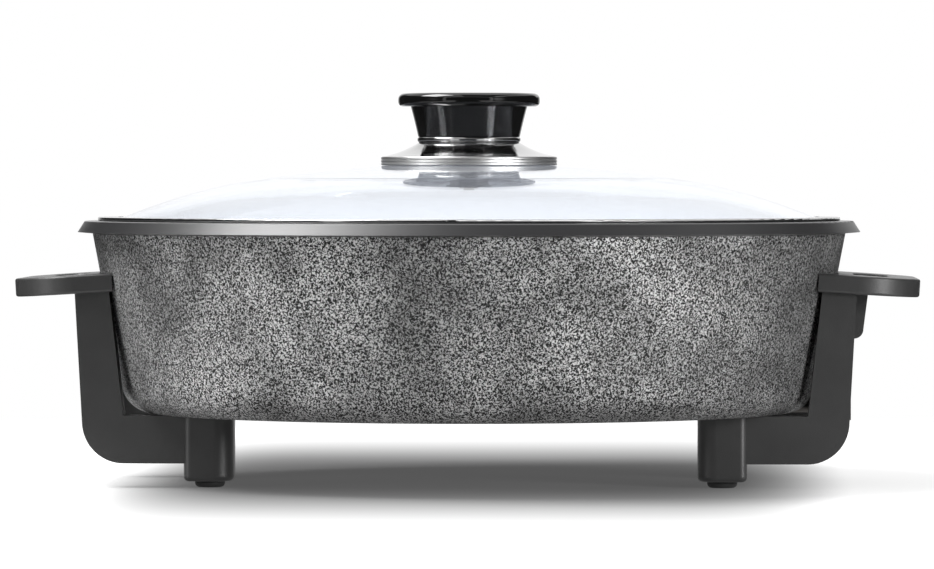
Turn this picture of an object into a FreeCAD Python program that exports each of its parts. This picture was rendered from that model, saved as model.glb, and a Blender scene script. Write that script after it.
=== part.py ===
import FreeCAD, Part
import math
import os
import Sketcher

# Electric skillet in millimetres: +Z up, origin on the floor under the pan's axis,
# +X towards the handle that carries the inlet, front at -Y.

doc = FreeCAD.newDocument("ElectricSkillet")
sheet = doc.addObject("Spreadsheet::Sheet", "Sizes")


class Size:
    """A length kept both as a number and as the sheet expression that gives it."""

    def __init__(self, text, value):
        self.text = text
        self.value = value

    def join(self, other, sign, value):
        return Size("(%s %s %s)" % (self.text, sign, other.text), value)

    def __add__(self, other):
        other = as_size(other)
        return self.join(other, "+", self.value + other.value)

    def __radd__(self, other):
        return as_size(other) + self

    def __sub__(self, other):
        other = as_size(other)
        return self.join(other, "-", self.value - other.value)

    def __rsub__(self, other):
        return as_size(other) - self

    def __mul__(self, other):
        other = as_size(other)
        return self.join(other, "*", self.value * other.value)

    def __rmul__(self, other):
        return as_size(other) * self

    def __truediv__(self, other):
        other = as_size(other)
        return self.join(other, "/", self.value / other.value)

    def __neg__(self):
        return Size("(0 - %s)" % self.text, -self.value)


def as_size(number):
    return number if isinstance(number, Size) else Size(repr(float(number)), float(number))


def root(size):
    return Size("sqrt(%s)" % size.text, math.sqrt(size.value))


def tangent(angle):
    return Size("tan(%s * 1deg)" % angle.text, math.tan(math.radians(angle.value)))


def cosine(angle):
    return Size("cos(%s * 1deg)" % angle.text, math.cos(math.radians(angle.value)))


def sine(angle):
    return Size("sin(%s * 1deg)" % angle.text, math.sin(math.radians(angle.value)))


cell_count = 0


def size(alias, value):
    """Write one driving dimension into the sheet and return it."""
    global cell_count
    cell_count += 1
    sheet.set("A%d" % cell_count, alias)
    sheet.set("B%d" % cell_count, str(value))
    sheet.setAlias("B%d" % cell_count, alias)
    return Size("Sizes.%s" % alias, float(value))


# Pan: a cast bowl with a straight flared wall and a thick sloping rim.
base_height = size("base_height", 34.8)
pan_height = size("pan_height", 92.7)
base_corner_radius = size("base_corner_radius", 166.2)
wall_angle = size("wall_angle", 10.85)
wall_thickness = size("wall_thickness", 3.4)
floor_thickness = size("floor_thickness", 9.4)
base_recess = size("base_recess", 2.6)
base_ring_width = size("base_ring_width", 46.2)
outer_corner = size("outer_corner", 14.5)
inner_corner = size("inner_corner", 11)
rim_overhang = size("rim_overhang", 7.2)
rim_thickness = size("rim_thickness", 6.0)
rim_slope = size("rim_slope", 3.4)
rim_land = size("rim_land", 9.0)
rim_rounding = size("rim_rounding", 1.2)
rim_hem = size("rim_hem", 0.6)

# Heating element in its groove under the base.
element_inset = size("element_inset", 20)
element_tube = size("element_tube", 3.3)
element_bend = size("element_bend", 12)
element_end_spacing = size("element_end_spacing", 15)
groove_clearance = size("groove_clearance", 0.2)

# Lid: a domed glass in a steel band, with a knob on a conical skirt.
seat_clearance = size("seat_clearance", 0.2)
lip_inset = size("lip_inset", 9.7)
band_lip = size("band_lip", 1.7)
band_sheet = size("band_sheet", 0.8)
lip_width = size("lip_width", 10.1)
band_rounding = size("band_rounding", 0.7)
mouth_clearance = size("mouth_clearance", 2.2)
glass_thickness = size("glass_thickness", 4.0)
glass_edge_drop = size("glass_edge_drop", 0.6)
crown_radius = size("crown_radius", 700)
shoulder_start = size("shoulder_start", 100)
shoulder_radius = size("shoulder_radius", 278)
fit_clearance = size("fit_clearance", 0.1)
glass_hole = size("glass_hole", 5.0)
skirt_radius = size("skirt_radius", 42.8)
skirt_band = size("skirt_band", 4.2)
skirt_rise = size("skirt_rise", 11.2)
skirt_sheet = size("skirt_sheet", 1.0)
skirt_groove = size("skirt_groove", 0.4)
skirt_groove_lift = size("skirt_groove_lift", 1.0)
neck_radius = size("neck_radius", 24.8)
ring_height = size("ring_height", 2.8)
ring_radius = size("ring_radius", 25.3)
knob_flare = size("knob_flare", 28.4)
flange_radius = size("flange_radius", 34.5)
flange_thickness = size("flange_thickness", 5.6)
neck_height = size("neck_height", 14.6)
knob_crown = size("knob_crown", 1.0)
knob_edge = size("knob_edge", 2.4)
knob_lip = size("knob_lip", 0.6)
gasket_radius = size("gasket_radius", 9.5)
gasket_thickness = size("gasket_thickness", 1.6)
washer_radius = size("washer_radius", 11)
washer_thickness = size("washer_thickness", 1.2)
insert_radius = size("insert_radius", 4.5)
insert_length = size("insert_length", 11)
knob_screw_radius = size("knob_screw_radius", 2.5)
thread_clearance = size("thread_clearance", 0.05)
knob_screw_head = size("knob_screw_head", 4.6)
knob_screw_head_height = size("knob_screw_head_height", 2.8)

# Handles, legs and feet.
handle_overhang = size("handle_overhang", 27.8)
handle_tilt = size("handle_tilt", 3.5)
handle_drop = size("handle_drop", 36.5)
handle_thickness = size("handle_thickness", 8.8)
handle_half_width = size("handle_half_width", 62)
handle_corner = size("handle_corner", 30)
handle_edge = size("handle_edge", 1.2)
handle_bar = size("handle_bar", 14)
slot_half_length = size("slot_half_length", 33)
pan_clearance = size("pan_clearance", 0.3)
leg_inset = size("leg_inset", 5)
leg_thickness = size("leg_thickness", 14)
leg_top_out = size("leg_top_out", 20.6)
leg_top_width = size("leg_top_width", 16.4)
leg_low_out = size("leg_low_out", 17.2)
leg_low_width = size("leg_low_width", 19.7)
leg_wall = size("leg_wall", 3.0)
leg_corner = size("leg_corner", 20)
arm_bottom = size("arm_bottom", 11.7)
arm_gap = size("arm_gap", 0.2)
column_inset = size("column_inset", 31.5)
column_width = size("column_width", 23.7)
rear_column_width = size("rear_column_width", 16)
column_depth = size("column_depth", 26)
column_proud = size("column_proud", 1.5)
column_inner_rounding = size("column_inner_rounding", 9)
column_outer_rounding = size("column_outer_rounding", 3.5)
column_foot_rounding = size("column_foot_rounding", 2.4)
foot_height = size("foot_height", 3.1)
foot_radius = size("foot_radius", 7.2)
foot_stem_radius = size("foot_stem_radius", 4.6)
foot_stem_height = size("foot_stem_height", 8)
foot_edge = size("foot_edge", 2.2)
screw_radius = size("screw_radius", 2.0)
screw_head_radius = size("screw_head_radius", 3.9)
screw_head_height = size("screw_head_height", 2.6)
screw_bite = size("screw_bite", 5.5)
screw_slack = size("screw_slack", 0.9)
head_depth = size("head_depth", 14)

# Inlet for a plug-in control probe, under the right handle.
inlet_half_width = size("inlet_half_width", 28)
inlet_wall = size("inlet_wall", 3)
hood_length = size("hood_length", 16)
hood_rounding = size("hood_rounding", 4.5)
hood_lean = size("hood_lean", 2.2)
hood_screw_length = size("hood_screw_length", 14)
hood_screw_gap = size("hood_screw_gap", 3.6)
inlet_length = size("inlet_length", 18.6)
inlet_drop = size("inlet_drop", 3)
mouth_half_height = size("mouth_half_height", 10.5)
pin_lift = size("pin_lift", 22.7)
pin_radius = size("pin_radius", 2.4)
pin_root_radius = size("pin_root_radius", 1.6)
pin_proud = size("pin_proud", 0.2)
pin_tip = size("pin_tip", 1.2)
sensor_bore = size("sensor_bore", 3.7)
sensor_wall = size("sensor_wall", 0.7)
sensor_setback = size("sensor_setback", 1.8)
strap_thickness = size("strap_thickness", 1.0)
strap_width = size("strap_width", 6)
strap_gap = size("strap_gap", 1.1)
block_thickness = size("block_thickness", 3)
earth_thickness = size("earth_thickness", 0.8)
earth_half_height = size("earth_half_height", 4)

doc.recompute()

# Levels and radii that follow from the driving dimensions.
rim_top = base_height + pan_height
rim_bottom = rim_top - rim_thickness
slope = tangent(wall_angle)


def wall_radius(height):
    """Outer radius of the pan's wall at a height."""
    return base_corner_radius + slope * (height - base_height)


rim_radius = wall_radius(rim_bottom) + rim_overhang
base_ring_inner = base_corner_radius - base_ring_width
element_ring = base_ring_inner - element_inset
wall_offset = wall_thickness / cosine(wall_angle)
floor_height = base_height + floor_thickness
recess_height = base_height + base_recess
mouth_radius = rim_radius - rim_slope - rim_land
element_height = base_height + element_tube + groove_clearance
arm_top = base_height - arm_gap
handle_reach = rim_radius + handle_overhang
handle_lift = rim_top - handle_drop + handle_reach * sine(handle_tilt)
leg_spread = handle_half_width - leg_inset - leg_thickness
leg_top_outer = base_corner_radius + leg_top_out
leg_top_inner = leg_top_outer - leg_top_width
leg_low_outer = base_corner_radius + leg_low_out
leg_low_inner = leg_low_outer - leg_low_width
column_outer = base_corner_radius - column_inset
column_front = leg_spread + leg_thickness + column_proud
column_y = column_front - column_depth / 2
front_column_x = column_outer - column_width / 2
rear_column_x = column_outer - rear_column_width / 2
foot_places = {
    "front_right": (front_column_x, -column_y),
    "front_left": (-front_column_x, -column_y),
    "rear_right": (rear_column_x, column_y),
    "rear_left": (-rear_column_x, column_y),
}
handle_wall = wall_radius(rim_top - handle_drop)
hood_reach = handle_wall + hood_length
inlet_reach = base_corner_radius + inlet_length
inlet_bottom = base_height - inlet_drop
pin_height = base_height + pin_lift
mouth_bottom = pin_height - mouth_half_height
mouth_top = pin_height + mouth_half_height
hood_bottom = mouth_top + inlet_wall
pin_reach = inlet_reach + pin_proud
sensor_outer = sensor_bore + sensor_wall
sensor_start = wall_radius(pin_height + sensor_outer) + thread_clearance
sensor_reach = inlet_reach - sensor_setback
strap_start = sensor_start + strap_gap
strap_end = strap_start + strap_thickness
block_end = strap_end + block_thickness


def handle_underside(reach):
    """Height of the sloping underside of a handle at a distance from the axis."""
    return handle_lift - tangent(handle_tilt) * reach


# Sketch helpers: every vertex is tied to the sheet.


def plane_of(body, role):
    for feature in body.Origin.OriginFeatures:
        if feature.Role == role:
            return feature
    raise ValueError("no origin plane %s" % role)


def arc_between(start, end, radius, side):
    """The arc of a radius from start to end, with its centre on one side of the chord."""
    chord = FreeCAD.Vector(end.x - start.x, end.y - start.y, 0)
    half = chord.Length / 2
    rise = math.sqrt(max(radius * radius - half * half, 0))
    normal = FreeCAD.Vector(-chord.y, chord.x, 0).normalize() * side
    centre = (start + end) * 0.5 + normal * rise
    circle = Part.Circle(centre, FreeCAD.Vector(0, 0, 1), radius)
    first = math.atan2(start.y - centre.y, start.x - centre.x)
    last = math.atan2(end.y - centre.y, end.x - centre.x)
    if side > 0:
        return Part.ArcOfCircle(circle, first, last), 1, 2
    return Part.ArcOfCircle(circle, last, first), 2, 1


def add_outline(sketch, points, arcs, closed):
    """Add lines and arcs through the points and tie each to the sheet; no radius is a half circle."""
    spots = [FreeCAD.Vector(x.value, y.value, 0) for x, y in points]
    total = len(points) if closed else len(points) - 1
    ends = []
    for index in range(total):
        start = spots[index]
        end = spots[(index + 1) % len(spots)]
        if index in arcs:
            radius, side = arcs[index]
            value = radius.value if radius else (end - start).Length / 2
            shape, first, last = arc_between(start, end, value, side)
        else:
            shape, first, last = Part.LineSegment(start, end), 1, 2
        ends.append((sketch.addGeometry(shape, False), first, last))
    for index in range(total):
        geometry, first, last = ends[index]
        if index + 1 < total or closed:
            after, after_first, after_last = ends[(index + 1) % total]
            sketch.addConstraint(Sketcher.Constraint("Coincident", geometry, last, after, after_first))
    for index, (x, y) in enumerate(points):
        geometry, first, last = ends[min(index, total - 1)]
        corner = first if index < total else last
        for kind, length in (("DistanceX", x), ("DistanceY", y)):
            row = sketch.addConstraint(
                Sketcher.Constraint(kind, -1, 1, geometry, corner, length.value))
            sketch.setExpression("Constraints[%d]" % row, length.text)
    for index, (radius, side) in arcs.items():
        geometry = ends[index][0]
        if radius is None:
            sketch.addConstraint(Sketcher.Constraint("Symmetric", geometry, 1, geometry, 2, geometry, 3))
            continue
        row = sketch.addConstraint(Sketcher.Constraint("Radius", geometry, radius.value))
        sketch.setExpression("Constraints[%d]" % row, radius.text)


def new_body(label):
    body = doc.addObject("PartDesign::Body", label)
    body.Label = label
    return body


def new_sketch(body, name, role, offset=None):
    sketch = body.newObject("Sketcher::SketchObject", body.Name + "_" + name)
    sketch.AttachmentSupport = [(plane_of(body, role), "")]
    sketch.MapMode = "FlatFace"
    if offset is not None:
        sketch.AttachmentOffset = FreeCAD.Placement(
            FreeCAD.Vector(0, 0, offset.value), FreeCAD.Rotation())
        sketch.setExpression("AttachmentOffset.Base.z", offset.text)
    return sketch


def pairs(points):
    return [(as_size(x), as_size(y)) for x, y in points]


def outline(body, name, role, points, arcs=None, offset=None, closed=True):
    sketch = new_sketch(body, name, role, offset)
    add_outline(sketch, pairs(points), arcs or {}, closed)
    return sketch


def circles(body, name, role, places, radius, offset=None):
    sketch = new_sketch(body, name, role, offset)
    for x, y in pairs(places):
        centre = FreeCAD.Vector(x.value, y.value, 0)
        circle = Part.Circle(centre, FreeCAD.Vector(0, 0, 1), radius.value)
        geometry = sketch.addGeometry(circle, False)
        for kind, length in (("DistanceX", x), ("DistanceY", y)):
            row = sketch.addConstraint(
                Sketcher.Constraint(kind, -1, 1, geometry, 3, length.value))
            sketch.setExpression("Constraints[%d]" % row, length.text)
        row = sketch.addConstraint(Sketcher.Constraint("Radius", geometry, radius.value))
        sketch.setExpression("Constraints[%d]" % row, radius.text)
    return sketch


def turned(body, name, sketch, kind="PartDesign::Revolution"):
    feature = body.newObject(kind, body.Name + "_" + name)
    feature.Profile = sketch
    feature.ReferenceAxis = (sketch, ["V_Axis"])
    feature.Angle = 360
    return feature


def raised(body, name, sketch, length, reverse=False, kind="PartDesign::Pad"):
    feature = body.newObject(kind, body.Name + "_" + name)
    feature.Profile = sketch
    feature.Length = length.value
    feature.setExpression("Length", length.text)
    feature.Reversed = reverse
    return feature


def cut(body, name, sketch, length, reverse=False):
    """Pocket a body and stop if the pocket removes nothing."""
    doc.recompute()
    before = body.Shape.Volume
    feature = raised(body, name, sketch, length, reverse, "PartDesign::Pocket")
    doc.recompute()
    if body.Shape.Volume > before - 0.01:
        raise ValueError("%s %s cuts nothing" % (body.Name, name))
    return feature


def rounded(body, name, radius, choose):
    """Fillet the edges of a body that a test picks."""
    doc.recompute()
    tip = body.Tip
    names = []
    for index, edge in enumerate(tip.Shape.Edges):
        if choose(edge):
            names.append("Edge%d" % (index + 1))
    if not names:
        raise ValueError("%s %s finds no edge" % (body.Name, name))
    feature = body.newObject("PartDesign::Fillet", body.Name + "_" + name)
    feature.Base = (tip, names)
    feature.Radius = radius.value
    feature.setExpression("Radius", radius.text)
    doc.recompute()
    if "Invalid" in feature.State or not feature.Shape.isValid():
        raise ValueError("%s %s fails" % (body.Name, name))
    return feature


def ring_edge(radius, height):
    """A test for the round edge at a radius and height about the Z axis."""
    def test(edge):
        if not isinstance(edge.Curve, Part.Circle):
            return False
        near_radius = abs(edge.Curve.Radius - radius.value) < 0.01
        return near_radius and abs(edge.Curve.Center.z - height.value) < 0.01
    return test


def any_of(*tests):
    return lambda edge: any(test(edge) for test in tests)


def level_edge(height):
    """A test for edges that lie wholly at one height."""
    def test(edge):
        box = edge.BoundBox
        return abs(box.ZMin - height.value) < 0.01 and abs(box.ZMax - height.value) < 0.01
    return test


def revolved(label, points, arcs=None):
    body = new_body(label)
    turned(body, "turn", outline(body, "profile", "XZ_Plane", points, arcs))
    return body


# Pan bowl

pan = revolved("pan_bowl", [
    (0, recess_height),
    (base_ring_inner, recess_height),
    (base_ring_inner + base_recess, base_height),
    (base_corner_radius, base_height),
    (wall_radius(rim_bottom), rim_bottom),
    (rim_radius, rim_bottom + rim_hem),
    (rim_radius - rim_slope, rim_top),
    (mouth_radius, rim_top),
    (wall_radius(rim_bottom - rim_land) - wall_offset, rim_bottom - rim_land),
    (wall_radius(floor_height) - wall_offset, floor_height),
    (0, floor_height),
])
rounded(pan, "outer_corner", outer_corner, ring_edge(base_corner_radius, base_height))
rounded(pan, "inner_corner", inner_corner,
        ring_edge(wall_radius(floor_height) - wall_offset, floor_height))
rounded(pan, "rim_edges", rim_rounding,
        any_of(ring_edge(rim_radius - rim_slope, rim_top), ring_edge(mouth_radius, rim_top)))

# Groove for the element's ring and slots for its ends, then blind holes for the leg screws.
groove_half = element_tube + groove_clearance
groove_depth = (element_tube + groove_clearance) * 2
bend_centre_y = element_end_spacing + element_bend
bend_reach = element_ring + element_bend
bend_x = root(bend_reach * bend_reach - bend_centre_y * bend_centre_y)
bend_outer = element_bend + groove_half
bend_inner = element_bend - groove_half


def towards_axis(length, side):
    """The point on the line from a bend's centre to the axis, at a distance from that centre."""
    share = 1 - length / bend_reach
    return bend_x * share, bend_centre_y * side * share


groove = outline(pan, "ring_groove", "XZ_Plane", [
    (element_ring - groove_half, base_height),
    (element_ring + groove_half, base_height),
    (element_ring + groove_half, base_height + groove_depth),
    (element_ring - groove_half, base_height + groove_depth),
])
turned(pan, "ring_groove_cut", groove, "PartDesign::Groove")
for name, side in (("front", -1), ("rear", 1)):
    end_y = element_end_spacing * side
    slot = outline(pan, "end_slot_" + name, "XY_Plane", [
        (bend_x - groove_half, end_y - groove_half),
        (base_corner_radius + element_bend, end_y - groove_half),
        (base_corner_radius + element_bend, end_y + groove_half),
        (bend_x - groove_half, end_y + groove_half),
    ], None, base_height + groove_depth)
    cut(pan, "end_slot_cut_" + name, slot, groove_depth)
    bend = outline(pan, "bend_slot_" + name, "XY_Plane", [
        (bend_x, end_y - groove_half * side),
        towards_axis(bend_outer, side),
        towards_axis(bend_inner, side),
        (bend_x, end_y + groove_half * side),
    ], {0: (bend_outer, -side), 2: (bend_inner, side)}, base_height + groove_depth)
    cut(pan, "bend_slot_cut_" + name, bend, groove_depth)

holes = circles(pan, "leg_holes", "XY_Plane", list(foot_places.values()),
                screw_radius + thread_clearance, base_height)
cut(pan, "leg_holes_cut", holes, screw_bite + fit_clearance, True)

# Heating element: an open ring whose two ends run out side by side to the inlet.

element = new_body("heating_element")
route = outline(element, "route", "XY_Plane", [
    (strap_start, -element_end_spacing),
    (bend_x, -element_end_spacing),
    towards_axis(element_bend, -1),
    (-element_ring, 0),
    towards_axis(element_bend, 1),
    (bend_x, element_end_spacing),
    (strap_start, element_end_spacing),
], {1: (element_bend, 1), 2: (element_ring, -1), 3: (element_ring, -1), 4: (element_bend, 1)},
    element_height, False)
section = circles(element, "section", "YZ_Plane", [(-element_end_spacing, element_height)],
                  element_tube, strap_start)
doc.recompute()
pipe = element.newObject("PartDesign::AdditivePipe", "heating_element_pipe")
pipe.Profile = section
pipe.Spine = (route, [])
pipe.Transition = "Round corner"

# Handles: D-shaped plates with a finger slot, tilted down towards the tip.


def handle(label, turn):
    body = new_body(label)
    inner = wall_radius(handle_underside(base_corner_radius) + handle_thickness) + pan_clearance
    edge_x = root(inner * inner - handle_half_width * handle_half_width)
    corner_x = handle_reach - handle_corner
    corner_y = handle_half_width - handle_corner
    plate = outline(body, "plate", "XY_Plane", [
        (edge_x, -handle_half_width),
        (corner_x, -handle_half_width),
        (handle_reach, -corner_y),
        (handle_reach, corner_y),
        (corner_x, handle_half_width),
        (edge_x, handle_half_width),
    ], {1: (handle_corner, 1), 3: (handle_corner, 1), 5: (inner, -1)})
    raised(body, "plate_pad", plate, handle_thickness)
    slot_end = handle_reach - handle_bar
    slot_start = leg_top_outer
    half = (slot_end - slot_start) / 2
    straight = slot_half_length - half
    slot = outline(body, "slot", "XY_Plane", [
        (slot_start, -straight),
        (slot_end, -straight),
        (slot_end, straight),
        (slot_start, straight),
    ], {0: (None, 1), 2: (None, 1)})
    cut(body, "slot_cut", slot, handle_thickness, True)
    screws = circles(body, "leg_screw_holes", "XY_Plane",
                     [(handle_screw_local, leg_mid), (handle_screw_local, -leg_mid)],
                     screw_radius + thread_clearance)
    cut(body, "leg_screw_cut", screws, screw_bite + fit_clearance, True)
    if turn == 0:
        hood = circles(body, "hood_screw_holes", "XY_Plane",
                       [(hood_screw_local, hood_screw_y), (hood_screw_local, -hood_screw_y)],
                       screw_radius + thread_clearance)
        cut(body, "hood_screw_cut", hood, screw_bite + fit_clearance, True)

    def rim(edge):
        if not (level_edge(handle_thickness)(edge) or level_edge(as_size(0))(edge)):
            return False
        is_hole = isinstance(edge.Curve, Part.Circle) and edge.Curve.Radius < half.value - 1
        is_inner = isinstance(edge.Curve, Part.Circle) and edge.Curve.Radius > inner.value - 1
        return not is_hole and not is_inner
    rounded(body, "edges", handle_edge, rim)
    body.Placement = handle_frame(turn)
    body.setExpression("Placement.Base.z", handle_lift.text)
    return body


def handle_frame(turn):
    """Placement of a handle: lifted, tilted down at the tip and turned to its side."""
    tilt = FreeCAD.Rotation(FreeCAD.Vector(0, 1, 0), handle_tilt.value)
    about = FreeCAD.Rotation(FreeCAD.Vector(0, 0, 1), turn)
    return FreeCAD.Placement(FreeCAD.Vector(0, 0, handle_lift.value), about.multiply(tilt))


leg_mid = leg_spread + leg_thickness / 2
handle_screw_x = (leg_top_outer + leg_top_inner) / 2
handle_screw_local = handle_screw_x / cosine(handle_tilt)
hood_screw_x = handle_wall + hood_screw_gap
hood_screw_local = hood_screw_x / cosine(handle_tilt)
hood_screw_y = inlet_half_width - inlet_wall - screw_head_radius - screw_slack
handle("handle_right", 0)
handle("handle_left", 180)

# Legs: hollow L-shaped mouldings, open towards each other, with a foot column at the arm's end.


def pan_envelope(body):
    """Cut a body back to clear the pan."""
    profile = outline(body, "envelope", "XZ_Plane", [
        (0, arm_top),
        (base_corner_radius + pan_clearance, arm_top),
        (wall_radius(rim_top) + pan_clearance, rim_top),
        (0, rim_top),
    ])
    return turned(body, "envelope_cut", profile, "PartDesign::Groove")


def leg(label, width, centre_x):
    """The leg at the front right, with a foot column of a width about a centre."""
    body = new_body(label)
    plate = outline(body, "plate", "XZ_Plane", [
        (leg_top_inner, handle_underside(leg_top_inner)),
        (leg_low_inner, arm_top),
        (centre_x, arm_top),
        (centre_x, arm_bottom),
        (leg_low_outer - leg_corner, arm_bottom),
        (leg_low_outer, arm_bottom + leg_corner),
        (leg_top_outer, handle_underside(leg_top_outer)),
    ], {4: (leg_corner, 1)}, leg_spread)
    raised(body, "plate_pad", plate, leg_thickness)
    roof_inner = leg_top_inner + leg_wall
    roof_outer = leg_top_outer - leg_wall
    hollow = outline(body, "hollow", "XZ_Plane", [
        (roof_inner, handle_underside(roof_inner) - leg_wall),
        (leg_low_inner + leg_wall, arm_top - leg_wall),
        (column_outer, arm_top - leg_wall),
        (column_outer, arm_bottom + leg_wall),
        (leg_low_outer - leg_corner, arm_bottom + leg_wall),
        (leg_low_outer - leg_wall, arm_bottom + leg_corner),
        (roof_outer, handle_underside(roof_outer) - leg_wall),
    ], {4: (leg_corner - leg_wall, 1)}, leg_spread)
    cut(body, "hollow_cut", hollow, leg_thickness - leg_wall, True)
    inner = column_outer - width
    back = column_depth - column_front
    column = outline(body, "column", "XY_Plane", [
        (inner + column_inner_rounding, -column_front),
        (column_outer - column_outer_rounding, -column_front),
        (column_outer, column_outer_rounding - column_front),
        (column_outer, back - column_outer_rounding),
        (column_outer - column_outer_rounding, back),
        (inner + column_inner_rounding, back),
        (inner, back - column_inner_rounding),
        (inner, column_inner_rounding - column_front),
    ], {1: (column_outer_rounding, 1), 3: (column_outer_rounding, 1),
        5: (column_inner_rounding, 1), 7: (column_inner_rounding, 1)}, foot_height)
    raised(body, "column_pad", column, arm_top - foot_height)
    rounded(body, "column_foot", column_foot_rounding, level_edge(foot_height))
    pan_envelope(body)
    shaft = circles(body, "screw_hole", "XY_Plane", [(centre_x, -column_y)],
                    screw_radius + groove_clearance, foot_height)
    cut(body, "screw_hole_cut", shaft, arm_top - foot_height, True)
    counterbore = circles(body, "counterbore", "XY_Plane", [(centre_x, -column_y)],
                          foot_stem_radius + fit_clearance, foot_height)
    cut(body, "counterbore_cut", counterbore, head_depth, True)
    top_hole = circles(body, "top_hole", "XY_Plane", [(handle_screw_x, -leg_mid)],
                       screw_radius + screw_slack, arm_top)
    cut(body, "top_hole_cut", top_hole, pan_height, True)
    return body


def mirrored(label, source, normal):
    """A mirror image of a sub-part in the plane through the axis with a normal."""
    copy = doc.addObject("Part::Mirroring", label)
    copy.Label = label
    copy.Source = source
    copy.Normal = normal
    return copy


across = FreeCAD.Vector(1, 0, 0)
along = FreeCAD.Vector(0, 1, 0)
mirrored("leg_front_left", leg("leg_front_right", column_width, front_column_x), across)
rear_pattern = leg("leg_rear_pattern", rear_column_width, rear_column_x)
mirrored("leg_rear_left", mirrored("leg_rear_right", rear_pattern, along), across)

# Feet: rubber discs with a stem that plugs the column's hole.


def place(thing, x, y, z):
    """Place a sub-part and tie its place to the sheet."""
    for axis, length in (("x", as_size(x)), ("y", as_size(y)), ("z", as_size(z))):
        thing.setExpression("Placement.Base." + axis, length.text)
    return thing


for name, (x, y) in foot_places.items():
    foot = revolved("foot_" + name, [
        (0, 0),
        (foot_radius, 0),
        (foot_radius, foot_height),
        (foot_stem_radius, foot_height),
        (foot_stem_radius, foot_height + foot_stem_height),
        (0, foot_height + foot_stem_height),
    ])
    rounded(foot, "edge", foot_edge, ring_edge(foot_radius, as_size(0)))
    place(foot, x, y, 0)

# Screws, each a head with a shank, grouped where they are alike.


def screw(name, head, head_height, shank, length):
    body = new_body(name)
    turned(body, "turn", outline(body, "profile", "XZ_Plane", [
        (0, -head_height),
        (head, -head_height),
        (head, 0),
        (shank, 0),
        (shank, length),
        (0, length),
    ]))
    return body


def group(label, parts):
    bundle = doc.addObject("Part::Compound", label)
    bundle.Label = label
    bundle.Links = parts
    return bundle


leg_screw_seat = foot_height + head_depth
leg_screws = []
for name, (x, y) in foot_places.items():
    one = screw("leg_screw_" + name, screw_head_radius, screw_head_height, screw_radius,
                base_height + screw_bite - leg_screw_seat)
    leg_screws.append(place(one, x, y, leg_screw_seat))
group("leg_screws", leg_screws)


def handle_spot(turn, x, y, z):
    """Placement of a point given in a handle's own tilted frame."""
    return handle_frame(turn).multiply(
        FreeCAD.Placement(FreeCAD.Vector(x.value, y.value, z.value), FreeCAD.Rotation()))


handle_screws = []
for turn in (0, 180):
    for end in (-1, 1):
        one = screw("handle_screw_%d_%d" % (turn, end + 1), screw_head_radius, screw_head_height,
                    screw_radius, leg_wall + screw_bite)
        one.Placement = handle_spot(turn, handle_screw_local, leg_mid * end, -leg_wall)
        handle_screws.append(one)
group("handle_screws", handle_screws)

hood_screws = []
for end in (-1, 1):
    one = screw("hood_screw_%d" % (end + 1), screw_head_radius, screw_head_height,
                screw_radius, hood_screw_length)
    one.Placement = handle_spot(0, hood_screw_local, hood_screw_y * end,
                                screw_bite - hood_screw_length)
    hood_screws.append(one)
group("inlet_screws", hood_screws)

# Inlet: a housing under the right handle with two contact pins and a sensor tube.

housing = new_body("inlet_housing")
hood_low_reach = hood_reach - hood_lean
housing_outline = outline(housing, "cheeks", "XZ_Plane", [
    (base_corner_radius, inlet_bottom),
    (inlet_reach, inlet_bottom),
    (inlet_reach, hood_bottom),
    (hood_low_reach - hood_rounding, hood_bottom),
    (hood_low_reach, hood_bottom + hood_rounding),
    (hood_reach, handle_underside(hood_reach)),
    (base_corner_radius, handle_underside(base_corner_radius)),
], {3: (hood_rounding, 1)}, -inlet_half_width)
raised(housing, "block", housing_outline, inlet_half_width * 2)
pan_envelope(housing)
inside_half = inlet_half_width - inlet_wall


def inlet_rectangle(body, name, half, low, high, reach):
    return outline(body, name, "YZ_Plane", [
        (-half, low), (half, low), (half, high), (-half, high)], None, reach)


cavity_length = inlet_reach - base_corner_radius
mouth = inlet_rectangle(housing, "mouth", inside_half, mouth_bottom, mouth_top, inlet_reach)
cut(housing, "mouth_cut", mouth, cavity_length)
cavity_reach = inlet_reach - inlet_wall
cavity = inlet_rectangle(housing, "cavity", inside_half, inlet_bottom + inlet_wall,
                         mouth_bottom + fit_clearance, cavity_reach)
cut(housing, "cavity_cut", cavity, cavity_length)
hood_seat = handle_underside(hood_screw_x) + screw_bite - hood_screw_length
screw_ways = [(hood_screw_x, hood_screw_y), (hood_screw_x, -hood_screw_y)]
ways = circles(housing, "screw_ways", "XY_Plane", screw_ways,
               screw_radius + screw_slack, hood_bottom)
cut(housing, "screw_ways_cut", ways, pan_height, True)
pockets = circles(housing, "screw_pockets", "XY_Plane", screw_ways,
                  screw_head_radius + screw_slack, mouth_top)
cut(housing, "screw_pockets_cut", pockets, hood_seat - mouth_top + groove_clearance * 2, True)

block = new_body("terminal_block")
block_face = inlet_rectangle(block, "face", inside_half - fit_clearance, mouth_bottom + fit_clearance,
                             mouth_top - fit_clearance, strap_end)
raised(block, "plate", block_face, block_thickness)
pin_places = [(-element_end_spacing, pin_height), (element_end_spacing, pin_height)]
cut(block, "pin_holes_cut",
    circles(block, "pin_holes", "YZ_Plane", pin_places, pin_root_radius + fit_clearance, block_end),
    block_thickness)
cut(block, "sensor_hole_cut",
    circles(block, "sensor_hole", "YZ_Plane", [(0, pin_height)], sensor_outer + fit_clearance,
            block_end), block_thickness)


def box(label, low, high):
    """A plain block between two corners."""
    thing = doc.addObject("Part::Box", label)
    thing.Label = label
    for side, first, last in zip(("Length", "Width", "Height"), low, high):
        thing.setExpression(side, (as_size(last) - first).text)
    return place(thing, *low)


def rod(label, radius, start, end, y, z):
    """A round rod along X."""
    body = new_body(label)
    raised(body, "rod", circles(body, "section", "YZ_Plane", [(y, z)], radius, start), end - start)
    return body


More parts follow.
